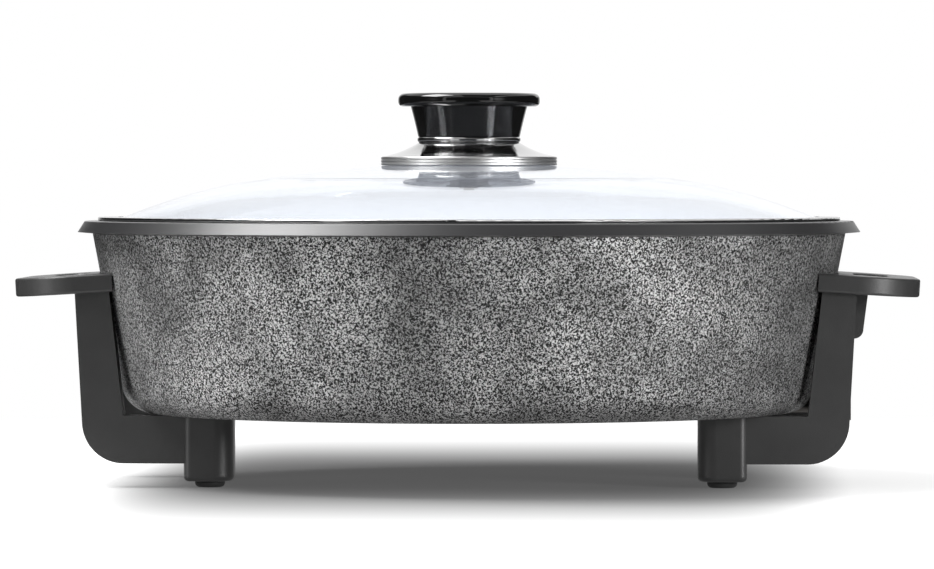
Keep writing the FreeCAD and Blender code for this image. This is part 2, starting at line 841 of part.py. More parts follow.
pin_shoulder = block_end + thread_clearance
for name, side in (("front", -1), ("rear", 1)):
    y = element_end_spacing * side
    box("bus_strap_" + name,
        (strap_start, y - strap_width / 2, element_height - strap_width / 2),
        (strap_end, y + strap_width / 2, pin_height + strap_width / 2))
    pin = rod("contact_pin_" + name, pin_root_radius, strap_end, pin_shoulder, y, pin_height)
    face = circles(pin, "face", "YZ_Plane", [(y, pin_height)], pin_radius, pin_shoulder)
    raised(pin, "contact", face, pin_reach - pin_shoulder)
    rounded(pin, "tip", pin_tip,
            lambda edge: abs(edge.BoundBox.XMin - pin_reach.value) < 0.01)

tube = rod("sensor_tube", sensor_outer, sensor_start, sensor_reach, 0, pin_height)
bore = circles(tube, "bore", "YZ_Plane", [(0, pin_height)], sensor_bore, sensor_reach)
cut(tube, "bore_cut", bore, sensor_reach - sensor_start - sensor_wall)

earth_y = inside_half - strap_thickness
box("earth_blade",
    (block_end, earth_y - earth_thickness, pin_height - earth_half_height),
    (pin_reach, earth_y, pin_height + earth_half_height))

# Lid glass: a dome whose crown runs into a tighter shoulder.


def crown_drop(radius):
    """How far the crown falls from its top at a radius."""
    return crown_radius - root(crown_radius * crown_radius - radius * radius)


def shoulder_sine_at(radius):
    return shoulder_sine + (radius - shoulder_start) / shoulder_radius


def shoulder_cosine_at(radius):
    return root(1 - shoulder_sine_at(radius) * shoulder_sine_at(radius))


band_radius = rim_radius - lip_inset
band_inner = band_radius - lip_width
band_outer = mouth_radius - mouth_clearance
band_wall = band_outer - band_sheet * 2
glass_edge = band_wall - fit_clearance
shoulder_sine = shoulder_start / crown_radius
shoulder_cosine = root(1 - shoulder_sine * shoulder_sine)
edge_sine = shoulder_sine_at(glass_edge)
edge_cosine = shoulder_cosine_at(glass_edge)
edge_height = rim_top - glass_edge_drop
shoulder_height = edge_height + shoulder_radius * (shoulder_cosine - edge_cosine)
dome_height = shoulder_height + crown_drop(shoulder_start)
edge_low_x = glass_edge - glass_thickness * edge_sine
edge_low_z = edge_height - glass_thickness * edge_cosine
under_crown = crown_radius - glass_thickness
glass = revolved("lid_glass", [
    (glass_hole, dome_height - crown_drop(glass_hole)),
    (shoulder_start, shoulder_height),
    (glass_edge, edge_height),
    (edge_low_x, edge_low_z),
    (shoulder_start - glass_thickness * shoulder_sine,
     shoulder_height - glass_thickness * shoulder_cosine),
    (glass_hole, dome_height - crown_radius
     + root(under_crown * under_crown - glass_hole * glass_hole)),
], {0: (crown_radius, -1), 1: (shoulder_radius, -1),
    3: (shoulder_radius - glass_thickness, 1), 4: (under_crown, 1)})

# Steel band: a channel around the glass with a lip that rests on the pan's rim.
lip_bottom = rim_top + seat_clearance
lip_top = lip_bottom + band_lip
lip_inner_height = edge_height + shoulder_radius * (shoulder_cosine_at(band_inner) - edge_cosine)
edge_slope = edge_sine / edge_cosine
channel_low = edge_low_z - (band_wall - edge_low_x) * edge_slope - fit_clearance
channel_high = edge_low_z + (edge_low_x - band_inner) * edge_slope - fit_clearance
band = revolved("lid_band", [
    (band_radius, lip_bottom),
    (band_radius, lip_top),
    (band_inner, lip_top),
    (band_inner, lip_inner_height + fit_clearance),
    (band_wall, edge_height + fit_clearance),
    (band_wall, channel_low),
    (band_inner, channel_high),
    (band_inner, channel_high - band_sheet),
    (band_wall, channel_low - band_sheet),
    (band_outer, channel_low - band_sheet),
    (band_outer, lip_bottom),
])
rounded(band, "lip_edges", band_rounding,
        any_of(ring_edge(band_radius, lip_top), ring_edge(band_radius, lip_bottom)))

# Knob: washers and gaskets clamp the glass, a spacer carries the skirt, ring and grip.
screw_way = knob_screw_radius + groove_clearance


def ring(label, inner, outer, low, high):
    """A flat ring about the axis."""
    return revolved(label, [(inner, low), (outer, low), (outer, high), (inner, high)])


upper_gasket_top = dome_height + gasket_thickness
glass_under = dome_height - glass_thickness - crown_drop(gasket_radius)
lower_gasket_bottom = glass_under - gasket_thickness
washer_bottom = lower_gasket_bottom - washer_thickness
skirt_bottom = dome_height - crown_drop(skirt_radius) + seat_clearance
skirt_top = skirt_bottom + skirt_rise
ring("lid_gasket_upper", screw_way, gasket_radius, dome_height, upper_gasket_top)
ring("lid_gasket_lower", screw_way, gasket_radius, lower_gasket_bottom, glass_under)
ring("lid_washer", screw_way, washer_radius, washer_bottom, lower_gasket_bottom)
ring("knob_spacer", screw_way, gasket_radius - skirt_sheet, upper_gasket_top,
     skirt_top - skirt_sheet)

skirt_shoulder = skirt_bottom + skirt_band
groove_low = skirt_bottom + skirt_groove_lift
revolved("knob_skirt", [
    (skirt_radius, skirt_bottom),
    (skirt_radius, groove_low),
    (skirt_radius - skirt_groove, groove_low + skirt_groove),
    (skirt_radius, groove_low + skirt_groove * 2),
    (skirt_radius, skirt_shoulder),
    (ring_radius, skirt_top),
    (screw_way, skirt_top),
    (screw_way, skirt_top - skirt_sheet),
    (ring_radius - skirt_sheet, skirt_top - skirt_sheet),
    (skirt_radius - skirt_sheet, skirt_shoulder - skirt_sheet),
    (skirt_radius - skirt_sheet, skirt_bottom),
])

knob_base = skirt_top + ring_height
ring("knob_ring", screw_way, ring_radius, skirt_top, knob_base)

flange_bottom = knob_base + neck_height
flange_top = flange_bottom + flange_thickness
knob = revolved("knob_grip", [
    (0, flange_top + knob_crown),
    (flange_radius - knob_edge, flange_top),
    (flange_radius, flange_top - knob_lip),
    (flange_radius, flange_bottom),
    (knob_flare, flange_bottom),
    (neck_radius, knob_base),
    (insert_radius, knob_base),
    (insert_radius, knob_base + insert_length),
    (0, knob_base + insert_length),
])
rounded(knob, "flange_edges", knob_edge, ring_edge(flange_radius, flange_bottom))
ring("knob_insert", knob_screw_radius + thread_clearance, insert_radius, knob_base,
     knob_base + insert_length)
knob_screw = screw("knob_screw", knob_screw_head, knob_screw_head_height, knob_screw_radius,
                   knob_base + insert_length - thread_clearance - washer_bottom)
place(knob_screw, 0, 0, washer_bottom)

# Check the document, then write one file for each sub-part.

doc.recompute()
for thing in doc.Objects:
    if "Invalid" in thing.State or "Error" in thing.State:
        raise ValueError("%s did not rebuild" % thing.Name)

members = leg_screws + handle_screws + hood_screws + [rear_pattern]
kinds = ("PartDesign::Body", "Part::Mirroring", "Part::Compound", "Part::Box")
parts = [thing for thing in doc.Objects if thing.TypeId in kinds and thing not in members]
for part in parts:
    if part.Shape.isNull() or not part.Shape.isValid() or not part.Shape.Solids:
        raise ValueError("%s has no sound shape" % part.Label)

os.makedirs("parts", exist_ok=True)
for part in parts:
    part.Shape.exportStep(os.path.join("parts", part.Label + ".step"))
    bounds = part.Shape.BoundBox
    print("%-20s %d solid(s) %9.0f mm3  z %.1f to %.1f" % (
        part.Label, len(part.Shape.Solids), part.Shape.Volume, bounds.ZMin, bounds.ZMax))
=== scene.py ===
import bmesh
import bpy
import math
from bpy.props import FloatProperty, FloatVectorProperty, PointerProperty
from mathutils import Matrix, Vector


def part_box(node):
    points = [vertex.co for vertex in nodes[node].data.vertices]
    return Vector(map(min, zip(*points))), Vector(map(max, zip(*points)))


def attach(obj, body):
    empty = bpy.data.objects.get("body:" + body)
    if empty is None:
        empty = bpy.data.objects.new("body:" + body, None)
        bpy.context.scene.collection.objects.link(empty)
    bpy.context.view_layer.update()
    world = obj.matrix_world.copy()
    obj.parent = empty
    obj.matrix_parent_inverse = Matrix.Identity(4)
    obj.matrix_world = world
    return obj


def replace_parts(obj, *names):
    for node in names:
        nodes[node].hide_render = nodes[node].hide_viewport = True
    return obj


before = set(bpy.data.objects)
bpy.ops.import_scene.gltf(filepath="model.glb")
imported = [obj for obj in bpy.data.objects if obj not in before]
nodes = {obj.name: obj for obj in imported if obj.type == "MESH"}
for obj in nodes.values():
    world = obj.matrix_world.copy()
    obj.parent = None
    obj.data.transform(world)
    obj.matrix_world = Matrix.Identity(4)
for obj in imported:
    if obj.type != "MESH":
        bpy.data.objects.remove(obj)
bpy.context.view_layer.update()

bl_info = {
    "name": "Electric skillet",
    "version": (1, 0, 0),
    "blender": (4, 5, 0),
    "location": "View3D > Sidebar > Skillet",
    "description": "Dresses the packed electric skillet with its finishes, stage and camera",
    "category": "Object",
}

corners = ("front_left", "front_right", "rear_left", "rear_right")

# Levels and radii read from the frame, in metres
pan_low, pan_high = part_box("pan_bowl")
base_height = pan_low[2]
rim_top = pan_high[2]
skirt_low, skirt_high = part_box("knob_skirt")
ring_low, ring_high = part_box("knob_ring")
grip_low, grip_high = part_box("knob_grip")


class Field:
    """A value socket whose arithmetic adds Math nodes to its tree."""

    def __init__(self, tree, socket):
        self.tree = tree
        self.socket = socket

    def node(self, kind, settings=None, outlet=0, **sockets):
        """Add a node of a type, apply its settings, feed its sockets and return one outlet."""
        made = self.tree.nodes.new(kind)
        for name, value in (settings or {}).items():
            setattr(made, name, value)
        for name, value in sockets.items():
            key = int(name[1:]) if name[0] == "_" else name.replace("_", " ")
            inlet = made.inputs[key]
            if isinstance(value, Field):
                self.tree.links.new(value.socket, inlet)
            else:
                inlet.default_value = value
        return Field(self.tree, made.outputs[outlet])

    def maths(self, operation, first, second=0.0):
        return self.node("ShaderNodeMath", {"operation": operation}, _0=first, _1=second)

    def __add__(self, other):
        return self.maths("ADD", self, other)

    __radd__ = __add__

    def __sub__(self, other):
        return self.maths("SUBTRACT", self, other)

    def __rsub__(self, other):
        return self.maths("SUBTRACT", other, self)

    def __mul__(self, other):
        return self.maths("MULTIPLY", self, other)

    __rmul__ = __mul__

    def __lt__(self, other):
        return self.maths("LESS_THAN", self, other)

    def __gt__(self, other):
        return self.maths("GREATER_THAN", self, other)

    def smooth(self, low, high):
        """0 below low and 1 above high, with a smooth step between."""
        return self.node("ShaderNodeMapRange", {"interpolation_type": "SMOOTHSTEP"},
                         Value=self, From_Min=low, From_Max=high)

    def blend(self, first, second):
        """A colour that goes from first to second as this value goes from 0 to 1."""
        return self.node("ShaderNodeMix", {"data_type": "RGBA"}, 2, _0=self, _6=first, _7=second)


class Finish:
    """A material with one Principled shader, its Object coordinates and its value fields."""

    def __init__(self, name, **constants):
        self.material = bpy.data.materials.new(name)
        self.material.use_nodes = True
        self.tree = self.material.node_tree
        self.tree.nodes.clear()
        self.shader = self.tree.nodes.new("ShaderNodeBsdfPrincipled")
        self.output = self.tree.nodes.new("ShaderNodeOutputMaterial")
        self.tree.links.new(self.shader.outputs[0], self.output.inputs["Surface"])
        place = self.tree.nodes.new("ShaderNodeTexCoord")
        self.place = Field(self.tree, place.outputs["Object"])
        split = self.tree.nodes.new("ShaderNodeSeparateXYZ")
        self.tree.links.new(place.outputs["Object"], split.inputs[0])
        self.x = Field(self.tree, split.outputs[0])
        self.y = Field(self.tree, split.outputs[1])
        self.z = Field(self.tree, split.outputs[2])
        for name, value in constants.items():
            self.shader.inputs[name.replace("_", " ")].default_value = value

    def radius(self):
        """Distance from the object's upright axis."""
        return self.x.maths("SQRT", self.x * self.x + self.y * self.y)

    def feed(self, inlet, field):
        self.tree.links.new(field.socket, self.shader.inputs[inlet])

    def noise(self, scale, detail=2.0, roughness=0.5, distortion=0.0):
        return self.place.node("ShaderNodeTexNoise", None, 0, Vector=self.place, Scale=scale,
                               Detail=detail, Roughness=roughness, Distortion=distortion)

    def bump(self, height, distance):
        """Feed the shader's normal from a height field, in steps of a distance."""
        normal = self.place.node("ShaderNodeBump", None, 0, Height=height, Distance=distance,
                                 Strength=1.0)
        self.feed("Normal", normal)


def grey(value):
    return (value, value, value, 1.0)


def solid(colour):
    """A colour property with full opacity."""
    return tuple(colour) + (1.0,)


def dress(material, *names):
    """Put a material on CAD nodes, in place of the one they came with."""
    for name in names:
        nodes[name].data.materials.clear()
        nodes[name].data.materials.append(material)


# Finishes

def speckled_enamel(look):
    """Dark enamel with fine worm-like light flecks outside, smooth coating on rim and inside."""
    finish = Finish("speckled_enamel", Specular_IOR_Level=0.2, Coat_Roughness=look.coat_roughness)
    grain = finish.noise(look.fleck_scale, roughness=0.55, distortion=0.9)
    fleck = grain.smooth(look.fleck_start, look.fleck_end)
    patch = finish.noise(look.patch_scale, roughness=0.6).smooth(0.3, 0.7)
    light = patch.blend(solid(look.fleck_colour), solid(look.fleck_bright))
    outside = fleck.blend(solid(look.enamel_colour), light)
    inside = finish.radius() < look.inside_radius + finish.z * look.inside_slope
    inside = inside * (finish.z > look.floor_level)
    coated = inside.maths("MAXIMUM", inside, finish.z > look.rim_bottom)
    bare_fleck = fleck * (1 - coated)
    smoother = look.coating_roughness - look.enamel_roughness
    finish.feed("Base Color", coated.blend(outside, solid(look.coating_colour)))
    finish.feed("Metallic", bare_fleck * look.fleck_metal)
    finish.feed("Coat Weight", coated)
    finish.feed("Roughness", coated * smoother + look.enamel_roughness + finish.noise(900.0) * 0.06)
    finish.bump(bare_fleck + finish.noise(1500.0) * 0.5, 0.00008)
    return finish.material


def black_moulding():
    """Satin black plastic with a fine grain."""
    finish = Finish("black_moulding", Specular_IOR_Level=0.5)
    finish.feed("Base Color", finish.noise(60.0, detail=3.0).blend(grey(0.026), grey(0.040)))
    finish.feed("Roughness", finish.noise(400.0, detail=3.0) * 0.12 + 0.30)
    finish.bump(finish.noise(2200.0), 0.00004)
    return finish.material


def gloss_black():
    finish = Finish("gloss_black", Base_Color=grey(0.004), Specular_IOR_Level=0.6)
    finish.feed("Roughness", finish.noise(120.0) * 0.05 + 0.05)
    return finish.material


def polished_steel(brushed_below=0.0):
    """Steel polished on a lathe, with faint turning lines, and brushed below a height."""
    finish = Finish("polished_steel", Metallic=1.0)
    brushed = finish.z < brushed_below
    turning = finish.place.node("ShaderNodeTexNoise", {"noise_dimensions": "1D"}, 0,
                                W=finish.radius() * 6000.0 + finish.z * 5000.0, Scale=1.0,
                                Detail=2.0)
    finish.feed("Base Color", turning.blend(grey(0.50), grey(0.70)))
    finish.feed("Roughness", turning * 0.10 + 0.05 + brushed * 0.28)
    finish.bump(turning, 0.000006)
    return finish.material


def clear_glass(look):
    """Tempered glass: clear, with a faint blue tint, and a faint bluish emission that paints extra
    light onto it as a milky sheen.
    """
    # The emission is painted light: a faint glow that brightens the glass, though the glass is no
    # lamp
    return Finish("clear_glass", Base_Color=solid(look.glass_tint), Roughness=0.0,
                  Transmission_Weight=1.0, IOR=1.5, Emission_Strength=look.painted_glass_glow,
                  Emission_Color=solid(look.painted_glow_colour)).material


# Plain finishes: colour, roughness and metallic
plain_finishes = {
    "element_sheath": ((0.2, 0.19, 0.18), 0.5, 1.0),
    "brass": ((0.7, 0.52, 0.25), 0.35, 1.0),
    "plated_pin": ((0.6, 0.6, 0.6), 0.25, 1.0),
    "glazed_block": ((0.68, 0.65, 0.58), 0.3, 0.0),
    "foot_rubber": ((0.02, 0.02, 0.02), 0.75, 0.0),
    "zinc_washer": ((0.55, 0.55, 0.54), 0.35, 1.0),
    "zinc_plate": ((0.55, 0.55, 0.54), 0.35, 1.0),
    "silicone": ((0.55, 0.55, 0.55), 0.6, 0.0),
}


def plain(name):
    """A plain finish with a little grain in its roughness and surface."""
    colour, roughness, metallic = plain_finishes[name]
    finish = Finish(name, Metallic=metallic)
    speck = finish.noise(300.0, detail=3.0)
    grain_spread = 0.12
    darker = tuple(value * 0.85 for value in colour)
    finish.feed("Base Color", speck.blend(solid(darker), solid(colour)))
    finish.feed("Roughness", speck * grain_spread + (roughness - grain_spread / 2))
    finish.bump(speck, 0.00003)
    return finish.material


# Shapes

def rounded_profile(points, radii, steps=8):
    """A chain of (radius, height) points whose inner corners are rounded off."""
    path = [Vector(points[0])]
    for index in range(1, len(points) - 1):
        corner = Vector(points[index])
        radius = radii.get(index, 0.0)
        before = (Vector(points[index - 1]) - corner).normalized()
        after = (Vector(points[index + 1]) - corner).normalized()
        half = before.angle(after) / 2
        if not radius or half > math.radians(89):
            path.append(corner)
            continue
        reach = radius / math.tan(half)
        centre = corner + (before + after).normalized() * (radius / math.sin(half))
        first = corner + before * reach - centre
        turn = first.angle_signed(corner + after * reach - centre)
        for step in range(steps + 1):
            angle = -turn * step / steps
            path.append(centre + Vector((first.x * math.cos(angle) - first.y * math.sin(angle),
                                         first.x * math.sin(angle) + first.y * math.cos(angle))))
    path.append(Vector(points[-1]))
    return path


def lathe(name, body, material, profile, segments=160):
    """Turn a closed outline of (radius, height) points round the axis; radius 0 makes a pole."""
    shape = bmesh.new()
    rings = []
    for radius, height in profile:
        if radius < 1e-6:
            rings.append([shape.verts.new((0, 0, height))])
            continue
        rings.append([shape.verts.new((radius * math.cos(step * math.tau / segments),
                                       radius * math.sin(step * math.tau / segments), height))
                      for step in range(segments)])
    open_ends = len(rings[0]) == 1 and len(rings[-1]) == 1
    for index in range(len(rings) - (1 if open_ends else 0)):
        first, second = rings[index], rings[(index + 1) % len(rings)]
        for step in range(segments):
            after = (step + 1) % segments
            loop = [first[step % len(first)], first[after % len(first)],
                    second[after % len(second)], second[step % len(second)]]
            loop = list(dict.fromkeys(loop))
            if len(loop) > 2:
                shape.faces.new(loop)
    bmesh.ops.recalc_face_normals(shape, faces=shape.faces)
    for face in shape.faces:
        face.smooth = True
    for edge in shape.edges:
        if len(edge.link_faces) == 2 and edge.calc_face_angle() > math.radians(32):
            edge.smooth = False
    mesh = bpy.data.meshes.new(name)
    shape.to_mesh(mesh)
    shape.free()
    mesh.materials.append(material)
    thing = bpy.data.objects.new(name, mesh)
    bpy.context.scene.collection.objects.link(thing)
    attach(thing, body)
    return thing


class Tree:
    """A Geometry Nodes tree with named inputs, built node by node."""

    def __init__(self, name, inputs):
        self.group = bpy.data.node_groups.new(name, "GeometryNodeTree")
        face = self.group.interface
        face.new_socket(name="Geometry", in_out="INPUT", socket_type="NodeSocketGeometry")
        face.new_socket(name="Geometry", in_out="OUTPUT", socket_type="NodeSocketGeometry")
        self.keys = {}
        for label, (kind, value) in inputs.items():
            socket = face.new_socket(name=label, in_out="INPUT", socket_type=kind)
            if value is not None:
                socket.default_value = value
            self.keys[label] = socket.identifier
        self.start = self.group.nodes.new("NodeGroupInput")
        self.end = self.group.nodes.new("NodeGroupOutput")

    def value(self, label):
        return Field(self.group, self.start.outputs[label])

    def add(self, kind, settings=None, outlet=0, **sockets):
        return Field(self.group, None).node(kind, settings, outlet, **sockets)

    def shifted(self, shape, height):
        """A shape moved up by a height."""
        offset = self.add("ShaderNodeCombineXYZ", Z=height)
        return self.add("GeometryNodeTransform", Geometry=shape, Translation=offset)

    def joined(self, *shapes):
        made = self.group.nodes.new("GeometryNodeJoinGeometry")
        for shape in shapes:
            self.group.links.new(shape.socket, made.inputs[0])
        return Field(self.group, made.outputs[0])

    def close(self, shape):
        self.group.links.new(shape.socket, self.end.inputs[0])


def screw_tree(material):
    """Pan-head screws with a cross recess and a threaded shank, one at each vertex, head down."""
    tree = Tree("screws", {
        "Head Radius": ("NodeSocketFloat", 0.0039),
        "Head Height": ("NodeSocketFloat", 0.0026),
        "Shank Radius": ("NodeSocketFloat", 0.0020),
        "Shank Length": ("NodeSocketFloat", 0.02),
        "Thread Pitch": ("NodeSocketFloat", 0.0012),
        "Recess Width": ("NodeSocketFloat", 0.0009),
        "Seed": ("NodeSocketInt", 7),
    })
    head_radius = tree.value("Head Radius")
    head_height = tree.value("Head Height")
    shank_radius = tree.value("Shank Radius")
    length = tree.value("Shank Length")
    width = tree.value("Recess Width")
    collar_share = 0.55
    collar = tree.add("GeometryNodeMeshCylinder", None, 0, Vertices=40, Radius=head_radius,
                      Depth=head_height * collar_share)
    collar = tree.shifted(collar, head_height * (-collar_share / 2))
    crown = tree.add("GeometryNodeMeshCone", None, 0, Vertices=40, Radius_Top=head_radius * 0.72,
                     Radius_Bottom=head_radius, Depth=head_height * (1 - collar_share))
    crown = tree.add("GeometryNodeTransform", Geometry=crown, Rotation=(math.pi, 0.0, 0.0))
    crown = tree.shifted(crown, head_height * -collar_share)
    bar = tree.add("GeometryNodeMeshCube", None, 0, Size=tree.add(
        "ShaderNodeCombineXYZ", X=head_radius * 1.15, Y=width, Z=head_height))
    cross = tree.joined(bar, tree.add("GeometryNodeTransform", Geometry=bar,
                                      Rotation=(0.0, 0.0, math.pi / 2)))
    cross = tree.shifted(cross, head_height * -1.05)
    made = tree.group.nodes.new("GeometryNodeMeshBoolean")
    made.operation = "DIFFERENCE"
    tree.group.links.new(tree.joined(collar, crown).socket, made.inputs[0])
    tree.group.links.new(cross.socket, made.inputs[1])
    head = Field(tree.group, made.outputs[0])
    thread_share = 0.14
    core_radius = shank_radius * (1 - thread_share)
    core = tree.add("GeometryNodeMeshCylinder", None, 0, Vertices=24, Radius=core_radius,
                    Depth=length)
    core = tree.shifted(core, length * 0.5)
    pitch = tree.value("Thread Pitch")
    threaded = length * 0.92
    turns = length.maths("DIVIDE", threaded, pitch)
    helix = tree.add("GeometryNodeCurveSpiral", None, 0, Resolution=18, Rotations=turns,
                     Start_Radius=core_radius, End_Radius=core_radius, Height=threaded)
    ridge = tree.add("GeometryNodeCurvePrimitiveCircle", None, 0, Resolution=4,
                     Radius=shank_radius * thread_share)
    thread = tree.add("GeometryNodeCurveToMesh", Curve=helix, Profile_Curve=ridge, Fill_Caps=True)
    thread = tree.shifted(thread, length * 0.04)
    axis = tree.add("GeometryNodeInputNamedAttribute", {"data_type": "FLOAT_VECTOR"}, 0,
                    Name="axis")
    aim = tree.add("FunctionNodeAlignRotationToVector", {"axis": "Z"}, 0, Vector=axis)
    spin = tree.add("FunctionNodeRandomValue", {"data_type": "FLOAT"}, 1, _2=0.0, _3=math.tau,
                    Seed=tree.value("Seed"))
    spin = tree.add("ShaderNodeCombineXYZ", Z=spin)
    aim = tree.add("FunctionNodeRotateRotation", {"rotation_space": "LOCAL"}, 0, Rotation=aim,
                   Rotate_By=tree.add("FunctionNodeEulerToRotation", Euler=spin))
    placed = tree.add("GeometryNodeInstanceOnPoints", Points=tree.value("Geometry"),
                      Instance=tree.joined(head, core, thread), Rotation=aim)
    real = tree.add("GeometryNodeRealizeInstances", Geometry=placed)
    painted = tree.add("GeometryNodeSetMaterial", Geometry=real, Material=material)
    tree.close(painted)
    return tree


def screws(name, body, replaced, tree, places, axes, **sizes):
    """Make a set of screws at places, along axes, in place of CAD nodes."""
    mesh = bpy.data.meshes.new(name + "_points")
    mesh.from_pydata(places, [], [])
    axis = mesh.attributes.new("axis", "FLOAT_VECTOR", "POINT")
    for item, value in zip(axis.data, axes):
        item.vector = value
    holder = bpy.data.objects.new(name + "_points", mesh)
    bpy.context.scene.collection.objects.link(holder)
    modifier = holder.modifiers.new("screws", "NODES")
    modifier.node_group = tree.group
    for label, value in sizes.items():
        modifier[tree.keys[label.replace("_", " ")]] = value
    evaluated = holder.evaluated_get(bpy.context.evaluated_depsgraph_get())
    made = bpy.data.meshes.new_from_object(evaluated)
    holder.modifiers.clear()
    bpy.data.objects.remove(holder)
    thing = bpy.data.objects.new(name, made)
    made.name = name
    bpy.context.scene.collection.objects.link(thing)
    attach(thing, body)
    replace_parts(thing, replaced)
    return thing


class SkilletPan(bpy.types.PropertyGroup):
    fleck_scale: FloatProperty(
        name="Fleck scale", description="How fine the flecks are", default=1200.0)
    patch_scale: FloatProperty(
        name="Patch scale", description="How fine the lighter and darker patches are", default=28.0)
    enamel_colour: FloatVectorProperty(
        name="Enamel", description="Colour between the flecks", subtype="COLOR",
        default=(0.009, 0.009, 0.009))
    fleck_colour: FloatVectorProperty(
        name="Flecks", description="Colour of flecks in darker patches", subtype="COLOR",
        default=(0.38, 0.38, 0.38))
    fleck_bright: FloatVectorProperty(
        name="Bright flecks", description="Colour of flecks in lighter patches", subtype="COLOR",
        default=(0.70, 0.70, 0.70))
    coating_colour: FloatVectorProperty(
        name="Coating", description="Colour of rim and inside", subtype="COLOR",
        default=(0.014, 0.014, 0.015))
    fleck_start: FloatProperty(
        name="Fleck start", description="Noise level at which a fleck starts", default=0.475)
    fleck_end: FloatProperty(
        name="Fleck end", description="Noise level at which a fleck is full", default=0.575)
    fleck_metal: FloatProperty(
        name="Fleck metal", description="How metallic the flecks are", default=0.9)
    enamel_roughness: FloatProperty(
        name="Enamel roughness", description="Least roughness of the enamel", default=0.47)
    coating_roughness: FloatProperty(
        name="Coating roughness", description="Least roughness of rim and inside", default=0.32)
    coat_roughness: FloatProperty(
        name="Coat roughness", description="Roughness of the clear coat on rim and inside",
        default=0.37)
    rim_bottom: FloatProperty(
        name="Rim bottom", description="Height of the rim's underside", unit="LENGTH",
        default=rim_top - 0.0061)
    inside_radius: FloatProperty(
        name="Inside radius", description="Smooth inside's radius, carried down to the floor",
        unit="LENGTH", default=0.1580)
    inside_slope: FloatProperty(
        name="Inside slope", description="How much that radius grows with height", default=0.1917)
    floor_level: FloatProperty(
        name="Floor level", description="Height above which the inside coating starts",
        unit="LENGTH", default=base_height + 0.0085)


class SkilletLid(bpy.types.PropertyGroup):
    glass_tint: FloatVectorProperty(
        name="Glass", description="Tint of the lid's glass", subtype="COLOR",
        default=(0.93, 0.96, 1.0))
    # Painted light: strength of the emission that makes the glass glow faintly, though it is no
    # lamp
    painted_glass_glow: FloatProperty(
        name="Glass sheen", description="Strength of the glass's faint milky sheen", default=0.07)
    # Colour of that painted glow
    painted_glow_colour: FloatVectorProperty(
        name="Sheen colour", description="Colour of that sheen", subtype="COLOR",
        default=(0.86, 0.90, 1.0))
    knob_edge: FloatProperty(
        name="Knob edge", description="Rounding of the knob's flange", unit="LENGTH",
        default=0.0024)
    knob_waist: FloatProperty(
        name="Knob waist", description="How far the knob's side curves in", unit="LENGTH",
        default=0.0001)
    skirt_hollow: FloatProperty(
        name="Skirt hollow", description="How far the skirt's cone curves in", unit="LENGTH",
        default=0.0009)
    screw_way: FloatProperty(
        name="Screw way", description="Radius of the hole in ring and skirt", unit="LENGTH",
        default=0.0027)
    neck_inset: FloatProperty(
        name="Neck inset", description="How far the grip's foot lies inside the ring",
        unit="LENGTH", default=0.0005)
    knob_flare: FloatProperty(
        name="Knob flare", description="Radius of the grip's side under the flange",
        unit="LENGTH", default=0.0284)
    flange_lift: FloatProperty(
        name="Flange lift", description="Height of the flange's underside over the grip's foot",
        unit="LENGTH", default=0.0146)
    top_fall: FloatProperty(
        name="Top fall", description="How far the grip's top falls to its edge", unit="LENGTH",
        default=0.0002)
    ring_edge: FloatProperty(
        name="Ring edge", description="Rounding of the ring's edges", unit="LENGTH",
        default=0.0012)
    skirt_seat: FloatProperty(
        name="Skirt seat", description="How far the cone's top lies inside the ring",
        unit="LENGTH", default=0.0008)
    skirt_band: FloatProperty(
        name="Skirt band", description="Height of the skirt's rim band", unit="LENGTH",
        default=0.0042)
    skirt_wall: FloatProperty(
        name="Skirt wall", description="Thickness of the skirt's sheet", unit="LENGTH",
        default=0.0010)
    skirt_groove: FloatProperty(
        name="Skirt groove", description="Depth of the band's two grooves", unit="LENGTH",
        default=0.00035)


class SkilletScrews(bpy.types.PropertyGroup):
    head_radius: FloatProperty(
        name="Head radius", description="Radius of the screws' heads", unit="LENGTH",
        default=0.0039)
    head_height: FloatProperty(
        name="Head height", description="Height of the screws' heads", unit="LENGTH",
        default=0.0026)
    tilt: FloatProperty(
        name="Tilt", description="Lean of the handle's and inlet's screws, in degrees",
        default=3.5)
    tilt_lift: FloatProperty(
        name="Tilt lift", description="How much higher a leaning head's middle lies",
        unit="LENGTH", default=0.00024)
    handle_shift: FloatProperty(
        name="Handle shift", description="How far the lean shifts a handle screw's head",
        unit="LENGTH", default=0.0002)
    inlet_shift: FloatProperty(
        name="Inlet shift", description="How far the lean shifts an inlet screw's head",
        unit="LENGTH", default=0.00014)
    handle_shank: FloatProperty(
        name="Handle shank", description="Length of a handle screw's shank", unit="LENGTH",
        default=0.0085)
    inlet_shank: FloatProperty(
        name="Inlet shank", description="Length of an inlet screw's shank", unit="LENGTH",
        default=0.014)
    knob_head: FloatProperty(
        name="Knob head", description="Height of the knob screw's head", unit="LENGTH",
        default=0.0028)
    knob_shank: FloatProperty(
        name="Knob shank", description="Radius of the knob screw's shank", unit="LENGTH",
        default=0.0025)
    knob_pitch: FloatProperty(
        name="Knob pitch", description="Pitch of the knob screw's thread", unit="LENGTH",
        default=0.0015)


